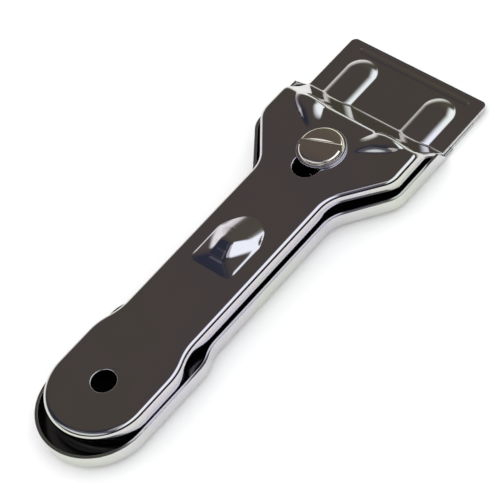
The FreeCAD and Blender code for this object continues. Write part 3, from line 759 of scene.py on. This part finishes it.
def cut_driver_slot(screw):
    """Cut the slot out of the head and bevel its edges a little, in the mesh itself."""
    tool = slot_cutter()
    groove = screw.modifiers.new("driver_slot", "BOOLEAN")
    groove.operation = "DIFFERENCE"
    groove.solver = "EXACT"
    groove.object = tool
    worn = screw.modifiers.new("worn_edges", "BEVEL")
    worn.limit_method = "ANGLE"
    worn.angle_limit = math.radians(38)
    worn.width = WORN_EDGE * MM
    worn.segments = 2
    bpy.context.view_layer.update()
    evaluated = screw.evaluated_get(bpy.context.evaluated_depsgraph_get())
    shaped = bpy.data.meshes.new_from_object(evaluated)
    screw.modifiers.clear()
    screw.data = shaped
    shaped.set_sharp_from_angle(angle=math.radians(35))
    bpy.data.objects.remove(tool)


def clamp_screw(material):
    """Threaded shank, wide head with a rolled rim and a low crown, driver slot."""
    rim_centre = HEAD_RADIUS - HEAD_RIM
    start = rim_centre + HEAD_RIM * math.sin(math.radians(HEAD_TILT))
    crown = math.tan(math.radians(HEAD_TILT)) / (2 * start)
    level = SCREW_HIGH[2] - crown * start ** 2 - HEAD_RIM * math.cos(math.radians(HEAD_TILT))
    screw = Builder()
    thread = screw_thread(screw)
    end = turned(screw, [(0, SCREW_LOW[2]), (SHANK_RADIUS - SHANK_CHAMFER, SCREW_LOW[2])])
    screw.strips([end[-1], thread[0]])
    profile = [(THREAD_RADIUS, HEAD_FOOT - 0.8), (THREAD_RADIUS, HEAD_FOOT)]
    profile += arc_profile(HEAD_RADIUS - HEAD_SHAVE, HEAD_FOOT + HEAD_SHAVE, HEAD_SHAVE, 180, 90, 4)
    profile += arc_profile(rim_centre, level, HEAD_RIM, 88, HEAD_TILT, 11)
    profile += [(radius, SCREW_HIGH[2] - crown * radius ** 2)
                for radius in np.linspace(start * 0.9, 0, 9)]
    body = turned(screw, profile)
    screw.strips([thread[-1], body[0]])
    piece = screw.build("slotted_screw", "screw", material)
    cut_driver_slot(piece)
    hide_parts("clamp_screw")


def screw_washer(material):
    """Plain washer, punched: its upper edge is rounder than its lower one."""
    bore = SHANK_RADIUS + 0.05
    chamfer = 0.1
    under_round, upper_round = 0.08, 0.18
    low, high = WASHER_LOW[2], WASHER_HIGH[2]
    profile = arc_profile(WASHER_RADIUS - under_round, low + under_round, under_round, 180, 90, 4)
    profile += arc_profile(WASHER_RADIUS - upper_round, high - upper_round, upper_round, 90, 0, 6)
    profile += [(bore + chamfer, high), (bore, high - chamfer),
                (bore, low + chamfer), (bore + chamfer, low)]
    washer = Builder()
    rings = turned(washer, profile)
    washer.strips([rings[-1], rings[0]])
    piece = washer.build("plain_washer", "washer", material)
    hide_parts("screw_washer")


# ---------------------------------------------------------------- shader helpers

def node(tree, kind, **inputs):
    """A shader node with some of its inputs set; an underscore stands for a space."""
    made = tree.nodes.new(kind)
    for name, value in inputs.items():
        made.inputs[name.replace("_", " ")].default_value = value
    return made


def noise(tree, vector, **inputs):
    made = node(tree, "ShaderNodeTexNoise", **inputs)
    tree.links.new(vector, made.inputs["Vector"])
    return made.outputs["Fac"]


def ramp(tree, value, low, high):
    """A soft step from 0 at low to 1 at high; low may be the greater of the two."""
    made = node(tree, "ShaderNodeMapRange", From_Min=low, From_Max=high)
    made.interpolation_type = "SMOOTHSTEP"
    tree.links.new(value, made.inputs["Value"])
    return made.outputs["Result"]


def mix(tree, share, first, second):
    made = tree.nodes.new("ShaderNodeMixRGB")
    for socket, value in (("Color1", first), ("Color2", second)):
        if isinstance(value, tuple):
            made.inputs[socket].default_value = (*value, 1)
        else:
            tree.links.new(value, made.inputs[socket])
    tree.links.new(share, made.inputs["Fac"])
    return made.outputs["Color"]


def product(tree, first, second):
    made = tree.nodes.new("ShaderNodeMath")
    made.operation = "MULTIPLY"
    tree.links.new(first, made.inputs[0])
    tree.links.new(second, made.inputs[1])
    return made.outputs["Value"]


# ---------------------------------------------------------------- materials

DULL_ROUGHNESS = 0.38
INNER_SHADE_SHARE = 0.3                                     # painted shade: how bright an inner face is painted, beside a plated one
OLIVE = (0.99, 1.0, 0.93)
VIOLET = (1.0, 0.96, 1.03)
PEEL_HEIGHT = 2.0e-6                                 # metres
SCRATCH_HEIGHT = 0.15e-6
SCRATCH_STRETCH = (220.0, 9000.0, 2000.0)            # fine across the tool, long along it


def tinted(colour, tint):
    return tuple(c * t for c, t in zip(colour, tint))


def uneven_gloss(tree, place, dull_and_shaded, roughness):
    """Roughness that wanders about its mean; inner faces are rougher."""
    polish = noise(tree, place, Scale=90.0, Detail=4.0, Roughness=0.6)
    gloss = node(tree, "ShaderNodeMapRange", From_Min=0.35, From_Max=0.65,
                 To_Min=roughness * 0.75, To_Max=roughness * 1.3)
    tree.links.new(polish, gloss.inputs["Value"])
    finish = node(tree, "ShaderNodeMix", B=DULL_ROUGHNESS)
    tree.links.new(dull_and_shaded, finish.inputs["Factor"])
    tree.links.new(gloss.outputs["Result"], finish.inputs["A"])
    return finish.outputs["Result"]


def clouded_tint(tree, place, dull_and_shaded, colour):
    """Colour that drifts between a faint olive and a faint violet; inner faces are darkened, as painted shade."""
    cloud = noise(tree, place, Scale=45.0, Detail=2.0, Roughness=0.5)
    share = ramp(tree, cloud, 0.35, 0.65)
    plate = mix(tree, share, tinted(colour, OLIVE), tinted(colour, VIOLET))
    # painted shade: inner faces get a darkened copy of the colour
    return mix(tree, dull_and_shaded, plate, tinted(colour, (INNER_SHADE_SHARE,) * 3))


def worked_surface(tree, place, peel, scratches):
    """Orange-peel ripple with hair scratches along the tool."""
    ripple = noise(tree, place, Scale=350.0, Detail=2.0, Roughness=0.4)
    lengthen = node(tree, "ShaderNodeMapping", Scale=SCRATCH_STRETCH)
    tree.links.new(place, lengthen.inputs["Vector"])
    hair = noise(tree, lengthen.outputs["Vector"], Scale=1.0, Detail=3.0, Roughness=0.7)
    peel_bump = node(tree, "ShaderNodeBump", Strength=1.0, Distance=PEEL_HEIGHT * peel)
    tree.links.new(ripple, peel_bump.inputs["Height"])
    hair_bump = node(tree, "ShaderNodeBump", Strength=1.0, Distance=SCRATCH_HEIGHT * scratches)
    tree.links.new(hair, hair_bump.inputs["Height"])
    tree.links.new(peel_bump.outputs["Normal"], hair_bump.inputs["Normal"])
    return hair_bump.outputs["Normal"]


def plated(name, colour, roughness, peel=1.0, scratches=1.0):
    """Bright metal: ripple, hair scratches, uneven polish and a faint tint.  Faces marked as a pressing's inner
    ones take little plate, so they are rougher; their colour is also darkened, which is painted shade."""
    material = bpy.data.materials.new(name)
    material.use_nodes = True
    tree = material.node_tree
    shader = tree.nodes["Principled BSDF"]
    shader.inputs["Metallic"].default_value = 1.0
    place = tree.nodes.new("ShaderNodeTexCoord").outputs["Object"]
    # the inner-face mark: rougher, and darkened as painted shade
    marked = tree.nodes.new("ShaderNodeAttribute")
    marked.attribute_name = "dull_and_shaded"
    dull_and_shaded = marked.outputs["Fac"]
    tree.links.new(uneven_gloss(tree, place, dull_and_shaded, roughness), shader.inputs["Roughness"])
    tree.links.new(clouded_tint(tree, place, dull_and_shaded, colour), shader.inputs["Base Color"])
    tree.links.new(worked_surface(tree, place, peel, scratches), shader.inputs["Normal"])
    return material


def shell_chrome():
    return plated("shell_chrome", (0.64, 0.63, 0.62), 0.07)


def tray_chrome():
    return plated("tray_chrome", (0.66, 0.67, 0.65), 0.09)


def screw_nickel():
    return plated("screw_nickel", (0.98, 0.93, 0.76), 0.13)


def bright_zinc():
    return plated("zinc", (0.66, 0.67, 0.68), 0.16)


def ground_steel():
    return plated("blade_steel", (0.58, 0.59, 0.60), 0.22, scratches=4.0)


def pale_floor_material():
    """Matt, nearly white board."""
    material = bpy.data.materials.new("studio_floor")
    material.use_nodes = True
    shader = material.node_tree.nodes["Principled BSDF"]
    shader.inputs["Base Color"].default_value = (0.93, 0.93, 0.92, 1)
    shader.inputs["Roughness"].default_value = 0.8
    shader.inputs["Specular IOR Level"].default_value = 0.1
    return material


# ---------------------------------------------------------------- studio

DARK_CEILING = (0.090, 0.077, 0.073)
COOL_CEILING = (0.030, 0.036, 0.062)                 # over the tail
WARM_CEILING = (0.105, 0.098, 0.078)                 # beyond the blade
NEAR_DARK = (0.028, 0.027, 0.032)                    # low on the camera's side
WHITE = (1.0, 1.0, 1.0)                              # the horizon's glow, and the backdrop
BETWEEN = (0.13, 0.13, 0.16)                         # the dim wall between the two softboxes
SIDE_BOX = (1.30, 1.38, 1.50)                        # softbox on the tool's right
TAIL_BOX = (0.90, 0.95, 1.02)                        # smaller one behind its tail
OVERHEAD = (0.60, 0.58, 0.60)                        # a small lamp nearly overhead
FLOOR_LIGHT = (1.3, 1.3, 1.3)

UP = (0, 0, 1)
FORWARD = (1, 0, 0)
AWAY = (0.35, 0.52, 0)                               # horizontally away from the camera
TO_SIDE_BOX = (0.574, -0.819, 0)
TO_TAIL_BOX = (-1, 0.03, 0)
TO_OVERHEAD = (-0.21, -0.34, 0.92)
SIDE_BAND = ((0.50, 0.62), (0.955, 0.89))            # heights where a box fades in, and out again
TAIL_BAND = ((0.30, 0.48), (0.90, 0.60))


def towards(tree, direction, vector):
    """Cosine between the ray and a fixed direction."""
    dot = tree.nodes.new("ShaderNodeVectorMath")
    dot.operation = "DOT_PRODUCT"
    dot.inputs[1].default_value = Vector(direction).normalized()
    tree.links.new(vector, dot.inputs[0])
    return dot.outputs["Value"]


def band(tree, height, limits):
    """A strip of sky between two heights, soft at both edges."""
    return product(tree, ramp(tree, height, *limits[0]), ramp(tree, height, *limits[1]))


def dark_sky(tree, height, forward, away):
    """The unlit ceiling and walls, with a horizon that glows behind the tool."""
    ceiling = mix(tree, ramp(tree, forward, -0.30, 0.25), COOL_CEILING, DARK_CEILING)
    ceiling = mix(tree, ramp(tree, forward, 0.50, 0.80), ceiling, WARM_CEILING)
    near_and_low = product(tree, ramp(tree, away, 0.1, -0.1), ramp(tree, height, 0.45, 0.30))
    walls = mix(tree, near_and_low, ceiling, NEAR_DARK)
    glow = product(tree, ramp(tree, height, 0.38, 0.02), ramp(tree, away, -0.25, 0.15))
    return mix(tree, glow, walls, WHITE)


def studio_world():
    """What polished metal sees: a dark sky, two softboxes and a small lamp.  Matt surfaces see
    one even soft light, and the camera a white backdrop."""
    world = bpy.data.worlds.new("studio")
    bpy.context.scene.world = world
    world.use_nodes = True
    tree = world.node_tree
    vector = tree.nodes.new("ShaderNodeTexCoord").outputs["Generated"]
    height = towards(tree, UP, vector)
    away = towards(tree, AWAY, vector)
    seen = dark_sky(tree, height, towards(tree, FORWARD, vector), away)

    side_band = band(tree, height, SIDE_BAND)
    seen = mix(tree, product(tree, side_band, ramp(tree, away, 0.28, 0.10)), seen, BETWEEN)
    beside = ramp(tree, towards(tree, TO_SIDE_BOX, vector), 0.20, 0.45)
    seen = mix(tree, product(tree, side_band, beside), seen, SIDE_BOX)
    behind = ramp(tree, towards(tree, TO_TAIL_BOX, vector), 0.55, 0.72)
    seen = mix(tree, product(tree, band(tree, height, TAIL_BAND), behind), seen, TAIL_BOX)
    above = ramp(tree, towards(tree, TO_OVERHEAD, vector), 0.982, 0.992)
    seen = mix(tree, above, seen, OVERHEAD)

    path = tree.nodes.new("ShaderNodeLightPath")
    lit = mix(tree, path.outputs["Is Diffuse Ray"], seen, FLOOR_LIGHT)
    whole = mix(tree, path.outputs["Is Camera Ray"], lit, WHITE)
    tree.links.new(whole, tree.nodes["Background"].inputs["Color"])


def studio_floor():
    """A plain pale floor just under the tool."""
    mesh = bpy.data.meshes.new("floor")
    reach = 6.0
    gap = 2e-5
    corners = [(-reach, -reach, 0), (reach, -reach, 0), (reach, reach, 0), (-reach, reach, 0)]
    mesh.from_pydata(corners, [], [(0, 1, 2, 3)])
    floor = bpy.data.objects.new("floor", mesh)
    floor.location = (0, 0, cad_box[0].z - gap)
    bpy.context.scene.collection.objects.link(floor)
    floor.data.materials.append(pale_floor_material())


CAMERA_AIM = (0.04566, -0.00467, DECK_TOP * MM)      # metres; on the deck, near the thumb pad
CAMERA_AZIMUTH = -35.12
CAMERA_ELEVATION = 51.57
CAMERA_ROLL = -18.05
CAMERA_DISTANCE = 0.5317
CAMERA_LENS = 167.3


def camera():
    """Long lens, looking down along the tool from behind its right side, slightly rolled."""
    data = bpy.data.cameras.new("camera")
    data.lens = CAMERA_LENS
    data.sensor_width = 36.0
    data.clip_start = 0.01
    data.clip_end = 50.0
    made = bpy.data.objects.new("camera", data)
    bpy.context.scene.collection.objects.link(made)
    azimuth = math.radians(CAMERA_AZIMUTH)
    elevation = math.radians(CAMERA_ELEVATION)
    level = math.cos(elevation)
    back = Vector((math.sin(azimuth) * level, -math.cos(azimuth) * level, math.sin(elevation)))
    upright = (-back).to_track_quat("-Z", "Y").to_matrix()
    rolled = upright @ Matrix.Rotation(math.radians(CAMERA_ROLL), 3, "Z")
    made.rotation_mode = "QUATERNION"
    made.rotation_quaternion = rolled.to_quaternion()
    made.location = Vector(CAMERA_AIM) + back * CAMERA_DISTANCE
    bpy.context.scene.camera = made


# ---------------------------------------------------------------- the whole scene

def dress(name, material):
    """Give a piece that keeps its CAD mesh its material."""
    item = frame["nodes"][name]
    item.data.materials.clear()
    item.data.materials.append(material)


def main():
    zinc = bright_zinc()
    top_shell(shell_chrome())
    base_tray(tray_chrome())
    clamp_screw(screw_nickel())
    screw_washer(zinc)
    dress("clamp_nut", zinc)
    dress("blade_studs", zinc)
    dress("scraper_blade", ground_steel())
    studio_world()
    studio_floor()
    camera()
    bpy.context.scene.view_settings.view_transform = "Standard"


main()
